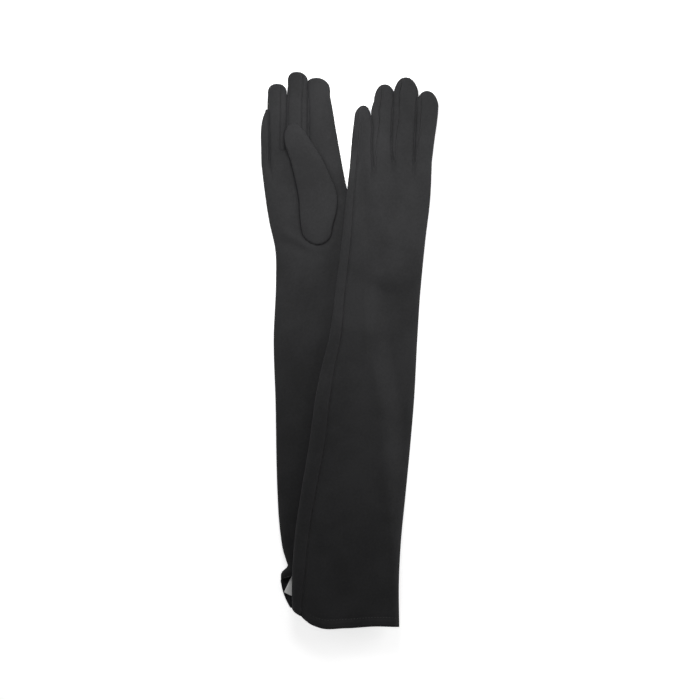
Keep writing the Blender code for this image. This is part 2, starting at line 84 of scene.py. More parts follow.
# Where the upper glove comes down off the lower glove's hand, and where it rides over its own thumb, as
# (start, length) runs along y, across x, and along y
OVER_RUN = (168.0, 40.0)
THUMB_SIDEWAYS = (2.0, 20.0)
THUMB_FROM = (52.0, 25.0)
THUMB_TO = (232.0, 34.0)
LABEL_SIZE = (22.0, 35.0)
LABEL_CORNER = (-66.1, -242.7)
LABEL_LEAN = math.radians(-25.3)
LABEL_HEIGHT = 2.6
LABEL_THICKNESS = 0.25

# Looks
HORIZON, ZENITH = 1.3, 0.13  # how bright the white surround is, low down and overhead
# Name, place and target in metres, size in metres, power in watts
LIGHTS = (
    ("key", (-0.03, 0.26, 0.27), (0.0, 0.16, 0.0), 0.2, 1.15),
    ("left", (-0.44, -0.05, 0.17), (0.0, -0.05, 0.0), 0.3, 0.2),
    ("right", (0.42, 0.05, 0.17), (0.0, 0.0, 0.0), 0.3, 1.0),
)
CAMERA_HEIGHT, VIEW_WIDTH = 3.0, 0.7  # metres
CAMERA_LEVEL = 0.008  # the height, in metres, at which the view is that wide
CORNER_X, CORNER_Y = -50.0, -223.0  # inside the right glove's open corner
CORNER_TURN = 0.5  # how steeply the right glove's open corner turns down at its mouth
THUMB_PRESS = 1.5  # how deep the folded thumb presses into the palm
SEAM_DIP = 0.95  # how deep the cloth rolls into a seam
SEAM_ROLL = 1.0  # how far from the seam it starts to
HEM_STEP = 0.45  # how much the turned hem adds to the thickness
HEM_GROOVE = 0.35  # how deep the hem's inner edge is drawn in
WAVE = 0.5  # height of the cloth's slow unevenness
THREAD_RADIUS = 0.09
STITCH = 3.2, 1.5, 0.13  # spacing, length and radius
HEM_LINES = HEM_DEPTH + 0.6, 0.7  # how far from the rim the hem's two rows of stitches run

# How finely each panel is divided
FINGER_COLUMNS = 12
WEB_COLUMNS = 6
SIDE_ROWS = 12
FINGER_STEPS = 34
FINGER_REACH = 0.992  # where the last row lies, before the tip itself
HAND_STEPS = 150
HAND_CROWDING = 0.136  # how much closer together the rows lie near the knuckles and the mouth
THUMB_STEPS = 60
THUMB_AROUND = 56

Finger = namedtuple("Finger", "name left right tip")
# Edges are (y, x) points. mouth_top and mouth_bottom are (fraction across, y) points.
Glove = namedtuple(
    "Glove", "name palm_up knuckles ulnar radial crotches fingers mouth_top mouth_bottom"
)

FINGER_NAMES = ("little", "ring", "middle", "index")

RIGHT = Glove(
    name="right",
    palm_up=True,
    knuckles=200.5,
    ulnar=(
        (186.0, -88.8), (160.0, -85.7), (130.0, -81.2), (100.0, -74.8), (70.0, -74.2),
        (10.0, -76.5), (-50.0, -74.7), (-130.0, -73.2), (-190.0, -70.5), (-264.0, -68.0),
    ),
    radial=(
        (203.0, -11.0), (170.0, -4.9), (140.0, 2.0), (110.0, 7.0), (60.0, 10.0), (10.0, 13.0),
        (-50.0, 24.6), (-130.0, 31.0), (-190.0, 38.0), (-264.0, 42.0),
    ),
    crotches=((-81.5, 189.5), (-64.5, 202.0), (-42.9, 200.5)),
    fingers=(
        Finger(
            "little", ((202.5, -89.1), (218.5, -89.3), (227.0, -88.5), (234.0, -86.8), (239.0, -84.9)),
            ((200.0, -81.8), (215.0, -82.1), (228.0, -82.6)), (-83.4, 241.0),
        ),
        Finger(
            "ring", ((205.0, -81.3), (225.0, -82.0), (240.0, -82.4), (256.0, -82.0)),
            ((215.0, -64.3), (235.0, -63.7), (256.0, -63.6)), (-73.0, 267.0),
        ),
        Finger(
            "middle", ((215.0, -64.0), (235.0, -63.5), (250.0, -63.2), (264.0, -61.9)),
            ((225.0, -43.2), (264.0, -42.4)), (-53.6, 279.0),
        ),
        Finger(
            "index", ((225.0, -42.7), (250.0, -43.0), (264.0, -44.2)),
            ((206.5, -11.6), (222.5, -14.4), (238.5, -16.9), (254.0, -19.8)), (-34.0, 273.0),
        ),
    ),
    mouth_top=((0.0, -229.5), (0.08, -227.0), (0.2, -229.0), (0.5, -260.0), (1.0, -264.0)),
    mouth_bottom=((0.0, -258.5), (0.1, -267.0), (0.3, -269.0), (1.0, -264.0)),
)
LEFT = Glove(
    name="left",
    palm_up=False,
    knuckles=186.5,
    ulnar=(
        (182.5, -0.4), (150.0, -4.0), (110.0, -8.2), (60.0, -14.5), (10.0, -21.3), (-20.0, -29.0),
        (-50.0, -35.0), (-90.0, -40.3), (-140.0, -48.5), (-190.0, -55.5), (-230.0, -58.0),
        (-278.0, -57.5),
    ),
    radial=(
        (188.5, 81.9), (150.0, 80.1), (110.0, 75.4), (60.0, 70.6), (10.0, 67.4), (-50.0, 64.2),
        (-90.0, 60.9), (-150.0, 55.1), (-190.0, 51.1), (-230.0, 49.0), (-278.0, 49.3),
    ),
    crotches=((23.9, 183.1), (43.4, 190.0), (65.0, 188.0)),
    fingers=(
        Finger(
            "little", ((218.5, 2.6), (232.0, 4.2)),
            ((203.6, 22.5), (225.0, 22.8), (236.0, 20.6)), (13.2, 245.0),
        ),
        Finger(
            "ring", ((203.6, 22.9), (225.0, 23.3), (238.0, 21.4), (250.0, 24.4)),
            ((203.5, 42.1), (235.5, 43.3), (256.0, 45.3)), (34.8, 266.5),
        ),
        Finger(
            "middle", ((203.5, 42.5), (235.5, 43.6), (256.0, 43.8)),
            ((203.0, 65.2), (229.0, 66.5), (240.0, 67.3), (258.0, 68.4)), (55.8, 273.5),
        ),
        Finger(
            "index", ((203.0, 65.7), (229.0, 67.0), (240.0, 67.4), (252.0, 66.0)),
            ((210.5, 84.6), (230.5, 87.4), (245.0, 88.6)), (77.2, 259.8),
        ),
    ),
    mouth_top=(
        (0.0, -265.5), (0.05, -270.8), (0.17, -276.8), (0.45, -277.6), (0.78, -275.8), (1.0, -276.5),
    ),
    mouth_bottom=(
        (0.0, -257.0), (0.12, -271.0), (0.25, -276.6), (0.5, -277.4), (0.8, -275.6), (1.0, -276.5),
    ),
)

# The folded thumb: distance below the knuckles, offset of its middle from the hand's middle, width
THUMB_SHAPE = (
    (-25.0, -6.5, 16.0), (-20.0, -6.0, 19.0), (-5.0, -1.0, 27.5), (10.0, 5.0, 31.7), (26.0, 8.6, 35.0),
    (38.0, 10.5, 37.5), (50.0, 10.6, 38.0), (63.0, 8.0, 36.0), (78.0, 4.0, 30.5), (95.0, 1.5, 26.0),
)
THUMB_TIP = -26.0
THUMB_END = 95.0
THUMB_ROUND = 13.0, 14.0  # how long its rounded end and its rounded tip are

# The left glove's side seam wanders, as (y, arc distance from the edge) points
SEAM_LINE = (
    (-257.0, 11.5), (-240.0, 13.6), (-200.0, 15.6), (-150.0, 16.6), (-100.0, 17.8), (-50.0, 16.9),
    (0.0, 14.4), (50.0, 12.1), (90.0, 11.6), (130.0, 10.8), (170.0, 9.0), (185.0, 9.0),
)
# How far the right glove's edge is drawn in just above its mouth, as (y, distance) points
PINCH = (
    (-224.5, 0.0), (-222.5, 0.8), (-216.5, 7.0), (-211.0, 5.8), (-201.5, 3.2), (-185.0, 1.1),
    (-165.0, 0.0),
)
# The palm's fold round the base of the right thumb
LIP_CENTRE = (-32.0, 121.5)
LIP_REACH = (19.0, 19.5)
LIP_HEIGHT = 0.7
# Ridges and creases of the palm (True) and of the back of the hand (False): start, end, width, height
CREASES = {
    True: (
        ((-74, 121), (-30, 99), 3.8, 1.7), ((-74, 111), (-44, 96), 4.5, -1.0),
        ((-14, 152), (-2, 136), 2.2, 1.3), ((-12, 146), (-3, 132), 2.0, -0.7),
    ),
    False: (((0, 92), (60, 84), 9.0, -0.25), ((8, 70), (66, 62), 10.0, 0.2)),
}


def smooth(t):
    t = min(max(t, 0.0), 1.0)
    return t * t * (3 - 2 * t)


def ramped(at, run):
    """How far a place is past the start of a run of a given length, from 0 to 1."""
    start, length = run
    return smooth((at - start) / length)


def mix(a, b, t):
    return a + (b - a) * t


@lru_cache(maxsize=None)
def slopes(points):
    """A smooth curve's slope at each of its points."""
    found = []
    for i in range(len(points)):
        a, b = points[max(i - 1, 0)], points[min(i + 1, len(points) - 1)]
        if 0 < i < len(points) - 1:
            before, here = points[i][0] - a[0], b[0] - points[i][0]
            down = (points[i][1] - a[1]) / before
            up = (b[1] - points[i][1]) / here
            found.append((here * down + before * up) / (before + here))
        else:
            found.append((b[1] - a[1]) / (b[0] - a[0]))
    return found


@lru_cache(maxsize=None)
def ordered(points):
    return tuple(sorted(points))


def along(points, at):
    """A smooth curve through (where, value) points, held level past its ends."""
    points = ordered(points)
    tilt = slopes(points)
    at = min(max(at, points[0][0]), points[-1][0])
    i = 0
    while i < len(points) - 2 and points[i + 1][0] < at:
        i += 1
    step = points[i + 1][0] - points[i][0]
    t = (at - points[i][0]) / step
    return (
        (1 + 2 * t) * (1 - t) ** 2 * points[i][1]
        + t * (1 - t) ** 2 * step * tilt[i]
        + t * t * (3 - 2 * t) * points[i + 1][1]
        - t * t * (1 - t) * step * tilt[i + 1]
    )


def wrap(arc, roll, half):
    """How far in and how high a point lies, at this arc distance round a rolled edge."""
    quarter = 0.25 * math.pi * (roll + half)
    turn = min(abs(arc) / quarter, 1.0) * 0.5 * math.pi
    inset = roll * (1 - math.cos(turn)) + max(abs(arc) - quarter, 0.0)
    return inset, math.copysign(half * math.sin(turn), arc)


def bulge(inset, run):
    return math.sqrt(max(1 - (1 - min(max(inset, 0.0) / run, 1.0)) ** 2, 0.0))


def rise(inset, roll, plump, half):
    """Height of a plump flattened tube at this distance in from its edge."""
    return half * mix(bulge(inset, roll), bulge(inset, plump), PLUMPNESS)


def dip(distance, scale):
    """How far the cloth has rolled down at this distance from a seam."""
    return SEAM_DIP * scale * math.exp(-((distance / (SEAM_ROLL * scale)) ** 2))


def table_height(glove, x, y):
    """How high the underside of a flattened glove lies at a place."""
    if glove.palm_up:
        return 0.0
    over = 2 * BODY_HALF + LAYER_GAP
    past = x - along(RIGHT.radial, y)
    draped = over * (1 - smooth((past - 2.0) / DRAPE_RUN)) * (1 - ramped(y, OVER_RUN))
    thumb = 2 * THUMB_HALF + LAYER_GAP
    thumb *= ramped(x, THUMB_SIDEWAYS) * ramped(y, THUMB_FROM) * (1 - ramped(y, THUMB_TO))
    return LAYER_GAP + (draped**4 + thumb**4) ** 0.25


def seam_arcs(glove, finger, side, y, wide):
    """Arc distances of a finger side's upper and lower panel edges."""
    if (finger, side) == (0, "left"):
        return (SEAM_NARROW, -SIDE_SEAM) if glove.palm_up else (along(SEAM_LINE, y), -SEAM_NARROW)
    if (finger, side) == (3, "right"):
        return SEAM_NARROW, -SEAM_NARROW
    shown = "right" if glove.palm_up else "left"
    return (wide, -SEAM_NARROW) if side == shown else (SEAM_NARROW, -wide)


def sewn_edges(glove, finger, side):
    """Whether the upper and lower panel edges of a side are seams."""
    if (finger, side) == (3, "right"):
        return False, False
    if (finger, side) == (0, "left"):
        return (False, True) if glove.palm_up else (True, False)
    return True, True


class Section:
    """A cross-section of a flattened tube between two edges, with its seams rolled in."""

    def __init__(self, glove, y, left, right, half, roll, fingers, wide=SEAM_WIDE):
        self.left, self.right, self.half = left, right, half
        self.roll = min(roll, 0.5 * (right - left) * 0.96)
        self.plump = min(PLUMP_RUN, 0.5 * (right - left))
        self.scale = scale = min(1.0, (right - left) / (2.6 * SEAM_WIDE))
        names = ((fingers[0], "left"), (fingers[1], "right"))
        self.arcs = [[a * scale for a in seam_arcs(glove, *name, y, wide)] for name in names]
        self.sewn = [sewn_edges(glove, *name) for name in names]

    def side(self, right, fraction):
        """A point on a side, from its upper panel edge (0) round to its lower one (1)."""
        upper, lower = self.arcs[right]
        arc = mix(upper, lower, fraction)
        inset, _ = wrap(arc, self.roll, self.half)
        z = math.copysign(rise(inset, self.roll, self.plump, self.half), arc)
        sunk = 0.0
        if self.sewn[right][0]:
            sunk = max(sunk, dip(upper - arc, self.scale))
        if self.sewn[right][1]:
            sunk = max(sunk, dip(arc - lower, self.scale))
        steep = max(1 - inset / self.roll, 0.0)
        inset += sunk * steep
        z -= math.copysign(min(sunk * (1 - 0.6 * steep), abs(z)), z)
        return (self.right - inset if right else self.left + inset), z

    def edge(self, right, below):
        """Where a face panel's edge is, before the seam rolls in."""
        inset, _ = wrap(self.arcs[right][below], self.roll, self.half)
        return self.right - inset if right else self.left + inset

    def face(self, below, fraction):
        """A point on the upper or lower panel, from its left edge (0) to its right one (1)."""
        first, last = self.edge(False, below), self.edge(True, below)
        x = mix(first, last, fraction)
        inset = min(x - self.left, self.right - x)
        z = rise(inset, self.roll, self.plump, self.half)
        steep = max(1 - inset / self.roll, 0.0)
        sunk, way = 0.0, 0.0
        if self.sewn[0][below]:
            sunk, way = dip(x - first, self.scale), 1.0
        if self.sewn[1][below] and dip(last - x, self.scale) > sunk:
            sunk, way = dip(last - x, self.scale), -1.0
        z = max(z - sunk * (1 - 0.6 * steep), 0.0)
        x += way * sunk * steep
        return x, (-z if below else z)


class Shape:
    """Where each point of one glove's cloth lies."""

    def __init__(self, glove):
        self.glove = glove
        self.knuckles = {}

    def lift(self, x, y, z, half):
        return Vector((x, y, table_height(self.glove, x, y) + half + z))

    def bases(self, i):
        """The two base points of a finger, as (y, x), clear of its neighbours'."""
        glove = self.glove
        left, right = glove.ulnar[0], glove.radial[0]
        if i > 0:
            x, y = glove.crotches[i - 1]
            left = (y, x + CROTCH_HALF)
        if i < 3:
            x, y = glove.crotches[i]
            right = (y, x - CROTCH_HALF)
        return left, right

    def finger_section(self, i, y):
        finger = self.glove.fingers[i]
        base_left, base_right = self.bases(i)
        left = along((base_left, *finger.left), y)
        right = along((base_right, *finger.right), y)
        tip_run = TIP_RUN[self.glove.palm_up] * (right - left)
        roll = mix(EDGE_ROLL, FINGER_ROLL, smooth((y - min(base_left[0], base_right[0])) / 20.0))
        left -= TOUCH * (i > 0)
        right += TOUCH * (i < 3)
        near = min(max((y - finger.tip[1] + tip_run) / tip_run, 0.0), 1.0)
        narrow = math.sqrt(max(1 - near ** TIP_POWER[self.glove.palm_up], 0.0))
        middle = mix(0.5 * (left + right), finger.tip[0], near**2)
        reach = 0.5 * (right - left) * narrow
        half = FINGER_HALF * narrow**0.7
        wide = SEAM_WIDE * SEAM_SHARE[i]
        if not self.glove.palm_up:
            base = max(base_left[0], base_right[0])
            length = (y - base) / (finger.tip[1] - base)
            wide *= mix(0.42, 1.0, min(max(2.0 * length, 0.0), 1.0) ** 0.7)
        return Section(self.glove, y, middle - reach, middle + reach, half, roll, (i, i), wide)

    def finger_y(self, i, row, fraction):
        base_left, base_right = self.bases(i)
        return mix(mix(base_left[0], base_right[0], fraction), self.glove.fingers[i].tip[1], row)

    def finger_side(self, i, row, right, fraction):
        y = self.finger_y(i, row, float(right))
        section = self.finger_section(i, y)
        x, z = section.side(right, fraction)
        return self.lift(x, y, z, mix(BODY_HALF, section.half, smooth(row * 4)))

    def finger_face(self, i, row, below, fraction):
        y = self.finger_y(i, row, fraction)
        section = self.finger_section(i, y)
        x, z = section.face(below, fraction)
        return self.lift(x, y, z, mix(BODY_HALF, section.half, smooth(row * 4)))

    def web(self, i, along_web, across):
        """A point of the crotch between fingers i and i+1.

        along_web runs from finger to finger (0 to 1), across from its upper seam (0) to its lower (1).
        """
        a = self.finger_side(i, 0.0, True, across)
        b = self.finger_side(i + 1, 0.0, False, across)
        x, y = self.glove.crotches[i]
        turn = math.pi * along_web
        inward = 0.5 * ((x - a.x) + (b.x - x))
        bow = (CROTCH_HALF + 0.75 * max(inward, 0.0)) * math.sin(turn)
        place = a.lerp(b, 0.5 - 0.5 * math.cos(turn))
        place.y -= bow
        place.z -= table_height(self.glove, *a.lerp(b, 0.5).xy) - table_height(self.glove, *place.xy)
        return place

    def knuckle_point(self, below, column):
        """A point of the knuckle line, where the fingers' panels and the webs join the hand's."""
        key = (below, column)
        if key not in self.knuckles:
            i, c = divmod(column, FINGER_COLUMNS + WEB_COLUMNS)
            if c <= FINGER_COLUMNS:
                place = self.finger_face(i, 0.0, below, c / FINGER_COLUMNS)
            else:
                place = self.web(i, (c - FINGER_COLUMNS) / WEB_COLUMNS, float(below))
            self.knuckles[key] = place
        return self.knuckles[key]

    def body_section(self, y):
        glove = self.glove
        left, right = along(glove.ulnar, y), along(glove.radial, y)
        return Section(glove, y, left + self.pinch(y), right, BODY_HALF, EDGE_ROLL, (0, 3))

    def pinch(self, y):
        """How far the right glove's little finger edge is drawn in above its mouth."""
        if not self.glove.palm_up:
            return 0.0
        return along(PINCH, y)

    def mouth_y(self, below, fraction):
        return along(self.glove.mouth_bottom if below else self.glove.mouth_top, fraction)

    def faded(self, knuckle, y, point, from_mouth):
        """A point of the body's section at y, which keeps the knuckle line's own shape near it."""
        x, z = point(y)
        start_x, start_z = point(knuckle.y)
        fade = 1 - smooth((knuckle.y - y) / CROTCH_FADE)
        knuckle_z = knuckle.z - table_height(self.glove, knuckle.x, knuckle.y) - BODY_HALF
        x += (knuckle.x - start_x) * fade
        z += (knuckle_z - start_z) * fade
        z = self.softened(x, y, z, from_mouth)
        return self.lift(x, y, z, BODY_HALF)

    def softened(self, x, y, z, from_mouth):
        """A point's height with the turned hem and, on the upper side, creases and slow unevenness."""
        thick = z / BODY_HALF
        hem = smooth((HEM_DEPTH - from_mouth) / 1.4 + 0.5)
        z += HEM_STEP * hem * thick
        z -= HEM_GROOVE * thick * math.exp(-(((from_mouth - HEM_DEPTH - 0.8) / 0.9) ** 2))
        if z > 0:
            wave = noise.noise(Vector((x * 0.021, y * 0.011, 3.0 + 9.0 * self.glove.palm_up)))
            wave += 0.4 * noise.noise(Vector((x * 0.06, y * 0.035, 7.0)))
            z += WAVE * thick * (wave - 0.5)
            z += creases(self.glove, x, y) * thick
            if self.glove.palm_up:
                z -= CORNER_TURN * max(CORNER_Y - y, 0.0) * smooth((CORNER_X - x) / 8.0)
        return max(z, -BODY_HALF)

    def body_face(self, row, below, column):
        knuckle = self.knuckle_point(below, column)
        if row == 0:
            return knuckle
        first, last = self.knuckle_point(below, 0), self.knuckle_point(below, columns())
        fraction = (knuckle.x - first.x) / (last.x - first.x)
        mouth = self.mouth_y(below, fraction)
        y = mix(knuckle.y, mouth, row)
        return self.faded(knuckle, y, lambda at: self.body_section(at).face(below, fraction), y - mouth)

    def body_side(self, row, right, fraction):
        upper, lower = self.mouth_y(False, float(right)), self.mouth_y(True, float(right))
        mouth = mix(upper, lower, smooth(fraction))
        knuckle = self.finger_side(3 if right else 0, 0.0, right, fraction)
        y = mix(knuckle.y, mouth, row)
        return self.faded(knuckle, y, lambda at: self.body_section(at).side(right, fraction), y - mouth)


def columns():
    return 4 * FINGER_COLUMNS + 3 * WEB_COLUMNS


def ridge(x, y, a, b, width, height):
    """A soft ridge, or a crease where height is negative, along a straight run."""
    a, b, at = Vector(a), Vector(b), Vector((x, y))
    way = b - a
    t = (at - a).dot(way) / way.length_squared
    off = (at - (a + way * min(max(t, 0.0), 1.0))).length
    ends = smooth(min(max(t, 0.0), 1.0) * 4) * smooth((1 - min(max(t, 0.0), 1.0)) * 4)
    return height * math.exp(-((off / width) ** 2)) * ends


def pressed_in(glove, x, y):
    """How the palm gives under the folded thumb and swells beside it."""
    t = (THUMB_END - (glove.knuckles - y)) / (THUMB_END - THUMB_TIP)
    if not 0 < t < 1:
        return 0.0
    left, right, _, _ = thumb_section(glove, t)
    outside = max(left - x, x - right)
    fade = smooth(t * 9) * smooth((0.86 - t) * 6)
    swell = 0.8 * math.exp(-(((outside - 4.0) / 2.4) ** 2))
    return fade * (swell - THUMB_PRESS * (1 - smooth((outside + 0.4) / 2.4)))


def creases(glove, x, y):
    """How high the folds stand on a glove's upper side, with the palm's fold round its thumb."""
    folds = 0.0
    if glove.palm_up:
        reach = math.hypot((x - LIP_CENTRE[0]) / LIP_REACH[0], (y - LIP_CENTRE[1]) / LIP_REACH[1])
        faded = smooth((LIP_CENTRE[1] + 7.0 - y) / 22.0)
        folds = LIP_HEIGHT * math.exp(-(((reach - 1.12) / 0.11) ** 2)) * faded
        folds += pressed_in(glove, x, y)
    for crease in CREASES[glove.palm_up]:
        folds += ridge(x, y, *crease)
    return folds


class Panel:
    """A sewing panel: an open surface, its vertices named so that neighbouring faces share them."""

    def __init__(self):
        self.places, self.faces = {}, []

    def grid(self, name, place, rows, cols, flip):
        """Quads over rows by columns. name(r, c) names a corner and place(r, c) says where it is."""
        names = {(r, c): name(r, c) for r in range(rows + 1) for c in range(cols + 1)}
        for at, called in names.items():
            if called not in self.places:
                self.places[called] = place(*at)
        for r in range(rows):
            for c in range(cols):
                face = [names[at] for at in ((r, c), (r, c + 1), (r + 1, c + 1), (r + 1, c))]
                self.faces.append(face[::-1] if flip else face)

    def mesh(self, title):
        bm = bmesh.new()
        made = {name: bm.verts.new(place * MM) for name, place in self.places.items()}
        for face in self.faces:
            bm.faces.new([made[name] for name in face]).smooth = True
        mesh = bpy.data.meshes.new(title)
        bm.to_mesh(mesh)
        bm.free()
        return mesh


def finger_rows():
    """Fractions of a finger's length, closer together towards its tip."""
    steps = range(FINGER_STEPS + 1)
    return [FINGER_REACH * math.sin(0.5 * math.pi * s / FINGER_STEPS) ** 0.9 for s in steps]


def hand_rows():
    """Fractions from the knuckles to the mouth, closer together near both."""
    steps = [s / HAND_STEPS for s in range(HAND_STEPS + 1)]
    return [t - HAND_CROWDING * math.sin(2 * math.pi * t) / math.pi for t in steps]


def trank_panel(shape):
    """The main piece of a glove: palm and back in one, parted along the side seam."""
    panel = Panel()
    back_below = shape.glove.palm_up
    rows, tips = hand_rows(), finger_rows()

    def face_name(below, row, column):
        return "face", below, row, column

    def side_name(right, row, part):
        if part in (0, SIDE_ROWS):
            below = part == SIDE_ROWS
            if right or below != back_below or row == -FINGER_STEPS:
                return face_name(below, row, columns() if right else 0)
        return "side", right, row, part

    for below in (False, True):
        panel.grid(
            lambda r, c, below=below: face_name(below, r, c),
            lambda r, c, below=below: shape.body_face(rows[r], below, c),
            HAND_STEPS, columns(), not below,
        )
        for i in range(4):
            first = i * (FINGER_COLUMNS + WEB_COLUMNS)
            panel.grid(
                lambda r, c, below=below, first=first: face_name(below, -r, first + c),
                lambda r, c, below=below, i=i: shape.finger_face(i, tips[r], below, c / FINGER_COLUMNS),
                FINGER_STEPS, FINGER_COLUMNS, below,
            )
    for right in (False, True):
        i = 3 if right else 0
        panel.grid(
            lambda r, p, right=right: side_name(right, r, p),
            lambda r, p, right=right: shape.body_side(rows[r], right, p / SIDE_ROWS),
            HAND_STEPS, SIDE_ROWS, right,
        )
        panel.grid(
            lambda r, p, right=right: side_name(right, -r, p),
            lambda r, p, right=right, i=i: shape.finger_side(i, tips[r], right, p / SIDE_ROWS),
            FINGER_STEPS, SIDE_ROWS, not right,
        )
    for i in range(4):
        close_fingertip(panel, shape, face_name, side_name, i, tips)
    return panel


def close_fingertip(panel, shape, face_name, side_name, i, tips):
    """The trank's small face at the end of a finger."""
    first = i * (FINGER_COLUMNS + WEB_COLUMNS)

    def end_name(right, part):
        name = ("tip", i, right, part)
        if (i, right) in ((0, False), (3, True)):
            name = side_name(right, -FINGER_STEPS, part)
        panel.places.setdefault(name, shape.finger_side(i, tips[-1], right, part / SIDE_ROWS))
        return name

    inner = range(1, SIDE_ROWS)
    ring = [face_name(False, -FINGER_STEPS, first + c) for c in range(FINGER_COLUMNS + 1)]
    ring += [end_name(True, part) for part in inner]
    ring += [face_name(True, -FINGER_STEPS, first + c) for c in range(FINGER_COLUMNS, -1, -1)]
    ring += [end_name(False, part) for part in reversed(inner)]
    middle = sum((panel.places[name] for name in ring), Vector()) / len(ring)
    panel.places["middle", i] = middle + Vector((0, 0.5, 0))
    for a, b in zip(ring, ring[1:] + ring[:1], strict=True):
        panel.faces.append([a, b, ("middle", i)])


def fourchette_place(shape, i, r, part):
    """A point of the strip between fingers i and i+1, which runs tip to crotch to tip."""
    tips = finger_rows()
    fraction = part / SIDE_ROWS
    if r <= FINGER_STEPS:
        return shape.finger_side(i, tips[FINGER_STEPS - r], True, fraction)
    if r >= FINGER_STEPS + WEB_COLUMNS:
        return shape.finger_side(i + 1, tips[r - FINGER_STEPS - WEB_COLUMNS], False, fraction)
    return shape.web(i, (r - FINGER_STEPS) / WEB_COLUMNS, fraction)


def fourchette_panel(shape, i):
    panel = Panel()
    rows = 2 * FINGER_STEPS + WEB_COLUMNS
    panel.grid(
        lambda r, p: (r, p), lambda r, p: fourchette_place(shape, i, r, p), rows, SIDE_ROWS, True
    )
    return panel


def thumb_section(glove, t):
    """The folded thumb's left edge, right edge, y and half thickness, from its end (0) to its tip (1)."""
    below_knuckles = mix(THUMB_END, THUMB_TIP, t)
    y = glove.knuckles - below_knuckles
    offsets = tuple((d, offset) for d, offset, _ in THUMB_SHAPE)
    widths = tuple((d, width) for d, _, width in THUMB_SHAPE)
    hand_middle = 0.5 * (along(glove.ulnar, y) + along(glove.radial, y))
    middle = hand_middle + along(offsets, below_knuckles)
    from_end = (THUMB_END - below_knuckles) / THUMB_ROUND[0]
    from_tip = (below_knuckles - THUMB_TIP) / THUMB_ROUND[1]
    narrow = math.sqrt(max(1 - max(1 - from_end, 1 - from_tip, 0.0) ** 2.2, 0.002))
    reach = 0.5 * along(widths, below_knuckles) * narrow
    return middle - reach, middle + reach, y, THUMB_HALF * narrow**0.6


def thumb_panel(glove):
    """The thumb, its lower end sunk into the palm where it is set in."""
    panel = Panel()
    rest = 2 * BODY_HALF + LAYER_GAP if glove.palm_up else LAYER_GAP

    def place(r, c):
        t = 0.5 - 0.5 * math.cos(math.pi * r / THUMB_STEPS)
        left, right, y, half = thumb_section(glove, t)
        angle = 2 * math.pi * c / THUMB_AROUND
        x = math.copysign(abs(math.cos(angle)) ** 0.8, math.cos(angle))
        z = math.copysign(abs(math.sin(angle)) ** 0.8, math.sin(angle))
        wave = noise.noise(Vector((x * 0.6, y * 0.03, 5.0)))
        z += 0.12 * wave * max(z, 0.0)
        sink = 1.6 * (1 - smooth(t / 0.16)) + 0.9 * THUMB_PRESS * smooth((0.8 - t) * 5)
        sink *= glove.palm_up
        height = rest + THUMB_HALF + half * z - sink
        return Vector((mix(left, right, 0.5 + 0.5 * x), y, height))

    panel.grid(lambda r, c: (r, c % THUMB_AROUND), place, THUMB_STEPS, THUMB_AROUND, True)
    panel.faces.append([(0, c) for c in range(THUMB_AROUND)])
    panel.faces.append([(THUMB_STEPS, c) for c in range(THUMB_AROUND - 1, -1, -1)])
    return panel


def add_piece(name, data, body, node, material):
    """An object that stands for a CAD node, riding on a body when one is given."""
    thing = bpy.data.objects.new(name, data)
    bpy.context.scene.collection.objects.link(thing)
    data.materials.append(material)
    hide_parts(node)
    if body is not None:
        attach(thing, body)
    return thing


def apply_cloth(mesh, thickness):
    """Thickens a panel inwards."""
    thing = bpy.data.objects.new("cloth", mesh)
    bpy.context.scene.collection.objects.link(thing)
    layer = thing.modifiers.new("cloth", "SOLIDIFY")
    layer.thickness = thickness * MM
    layer.offset = -1
    done = bpy.data.meshes.new_from_object(thing.evaluated_get(bpy.context.evaluated_depsgraph_get()))
    bpy.data.objects.remove(thing)
    return done


def add_thread(name, places, closed, body, node, material):
    """A seam's thread, lying at the bottom of the groove between two panels."""
    curve = bpy.data.curves.new(name, "CURVE")
    curve.dimensions = "3D"
    curve.bevel_depth = THREAD_RADIUS * MM
    curve.bevel_resolution = 1
    curve.use_fill_caps = True
    spline = curve.splines.new("POLY")
    spline.points.add(len(places) - 1)
    for point, place in zip(spline.points, places, strict=True):
        point.co = (*(place * MM), 1.0)
    spline.use_cyclic_u = closed
    return add_piece(name, curve, body, node, material)


def side_seam_path(shape):
    part = 1.0 if shape.glove.palm_up else 0.0
    places = [shape.body_side(row, False, part) for row in hand_rows()[:0:-1]]
    places += [shape.finger_side(0, row, False, part) for row in finger_rows()[:-1]]
    return places


def fourchette_path(shape, i):
    """Down a fourchette's upper edge, round its end and back along its lower edge."""
    last = 2 * FINGER_STEPS + WEB_COLUMNS - 1
    upper = [fourchette_place(shape, i, r, 0) for r in range(1, last + 1)]
    lower = [fourchette_place(shape, i, r, SIDE_ROWS) for r in range(last, 0, -1)]
    far = [fourchette_place(shape, i, last, p) for p in range(1, SIDE_ROWS)]
    near = [fourchette_place(shape, i, 1, p) for p in range(SIDE_ROWS - 1, 0, -1)]
    return upper + far + lower + near


